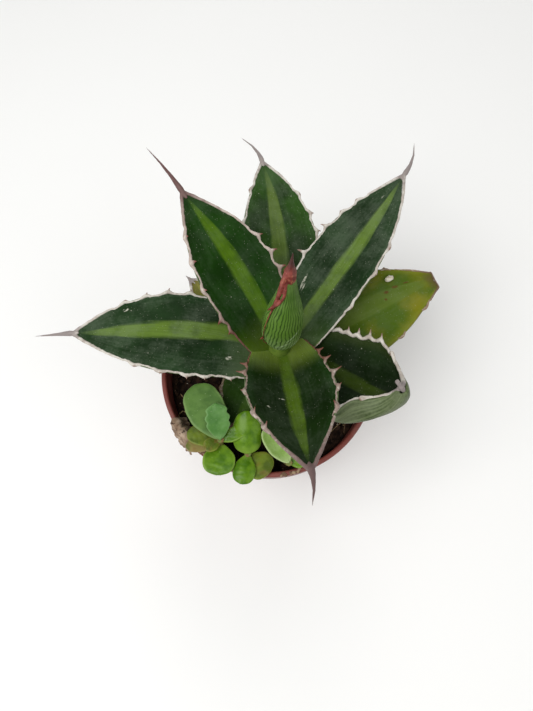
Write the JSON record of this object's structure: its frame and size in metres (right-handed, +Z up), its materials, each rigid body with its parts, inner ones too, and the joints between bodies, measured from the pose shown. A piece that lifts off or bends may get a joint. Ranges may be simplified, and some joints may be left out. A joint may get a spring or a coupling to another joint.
{
  "type": "potted agave",
  "caption": "Agave rosette with pale midstripes and horny toothed leaf edges, standing in a round nursery pot of soil with a low companion succulent.",
  "frame": {"origin": "centre of the pot's flat base, on the surface that it stands on", "axes": "+Z up along the pot's axis; +X to the right and +Y away in the view from above, so the companion succulent is on the -Y side"},
  "size_m": [0.199, 0.2029, 0.182],
  "materials": {
    "pot_plastic": "satin",
    "potting_soil": "matte",
    "crown_stem": "matte",
    "green_leaf": "satin",
    "aged_leaf": "satin",
    "young_leaf": "satin",
    "leaf_horn": "satin",
    "young_horn": "satin",
    "companion_leaf": "satin",
    "dry_leaf": "matte"
  },
  "bodies": {
    "root": {"pot": "pot_plastic", "soil": "potting_soil", "agave_stem": "crown_stem", "bud": "young_leaf", "bud_rim": "young_horn", "leaf_1": "green_leaf", "leaf_1_rim": "leaf_horn", "leaf_2": "green_leaf", "leaf_2_rim": "leaf_horn", "leaf_3": "green_leaf", "leaf_3_rim": "leaf_horn", "leaf_4": "green_leaf", "leaf_4_rim": "leaf_horn", "leaf_5": "green_leaf", "leaf_5_rim": "leaf_horn", "leaf_6": "green_leaf", "leaf_6_rim": "leaf_horn", "leaf_7": "green_leaf", "leaf_7_rim": "leaf_horn", "leaf_8": "aged_leaf", "leaf_8_rim": "leaf_horn", "leaf_9": "aged_leaf", "leaf_9_rim": "leaf_horn", "companion_west": "companion_leaf", "companion_south": "companion_leaf", "companion_east": "companion_leaf", "dry_leaf": "dry_leaf"}
  },
  "joints": []
}
